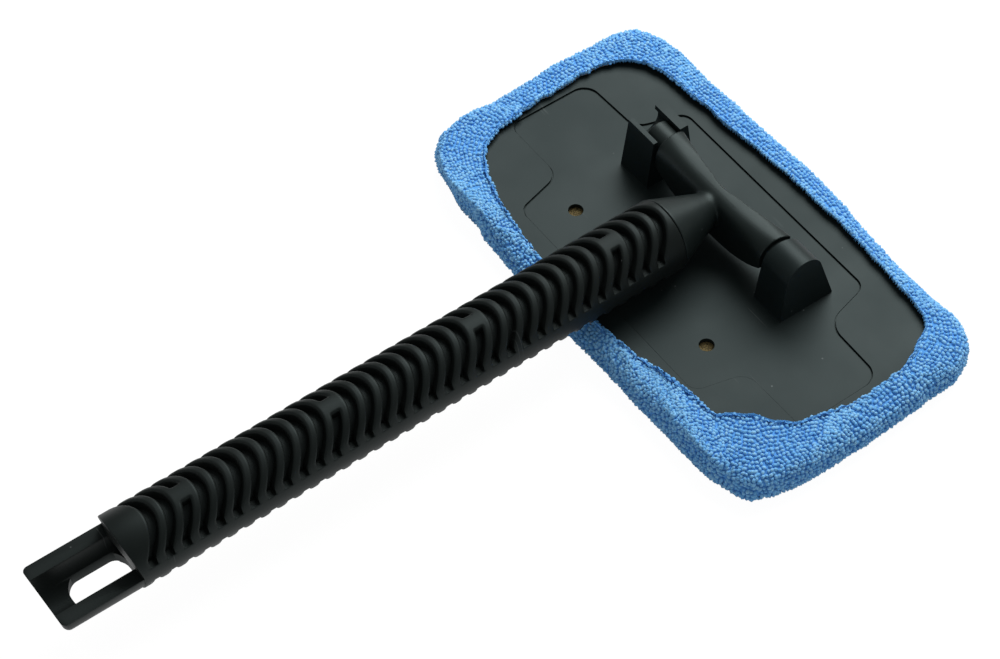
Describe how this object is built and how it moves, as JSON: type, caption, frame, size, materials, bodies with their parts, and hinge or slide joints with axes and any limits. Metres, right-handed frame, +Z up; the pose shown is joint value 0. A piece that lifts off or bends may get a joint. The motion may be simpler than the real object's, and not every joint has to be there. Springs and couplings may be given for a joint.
{
  "type": "window and windscreen cleaner",
  "caption": "Flat wiping head with a stretched looped microfibre cover over a sponge, and a ribbed grip whose T-shaped yoke turns in two brackets.",
  "frame": {"origin": "middle of the wiping face, on the surface the head lies on", "axes": "+X along the head towards the closed socket, +Y across the head away from the handle, +Z up from the wiping face; the handle lies along -Y"},
  "size_m": [0.2424, 0.3939, 0.0508],
  "materials": {
    "microfibre_loops": "sky blue looped pile",
    "elastic_rubber": "matt pale grey",
    "edging_thread": "pale blue overcast thread",
    "sponge": "olive tan open-cell foam",
    "plate_plastic": "fine satin, slate black",
    "yoke_plastic": "satin black",
    "handle_plastic": "satin black"
  },
  "bodies": {
    "head": {"bonnet": "microfibre_loops", "hem_elastic": "elastic_rubber", "hem_edging": "edging_thread", "foam_pad": "sponge", "head_plate": "plate_plastic"},
    "handle": {"yoke": "yoke_plastic", "handle": "handle_plastic"}
  },
  "joints": [
    {"name": "head_tilt", "type": "hinge", "parent": "head", "child": "handle", "pos_m": [0, 0.0152, 0.0344], "axis": [-1, 0, 0], "range_deg": [0, 178]}
  ]
}
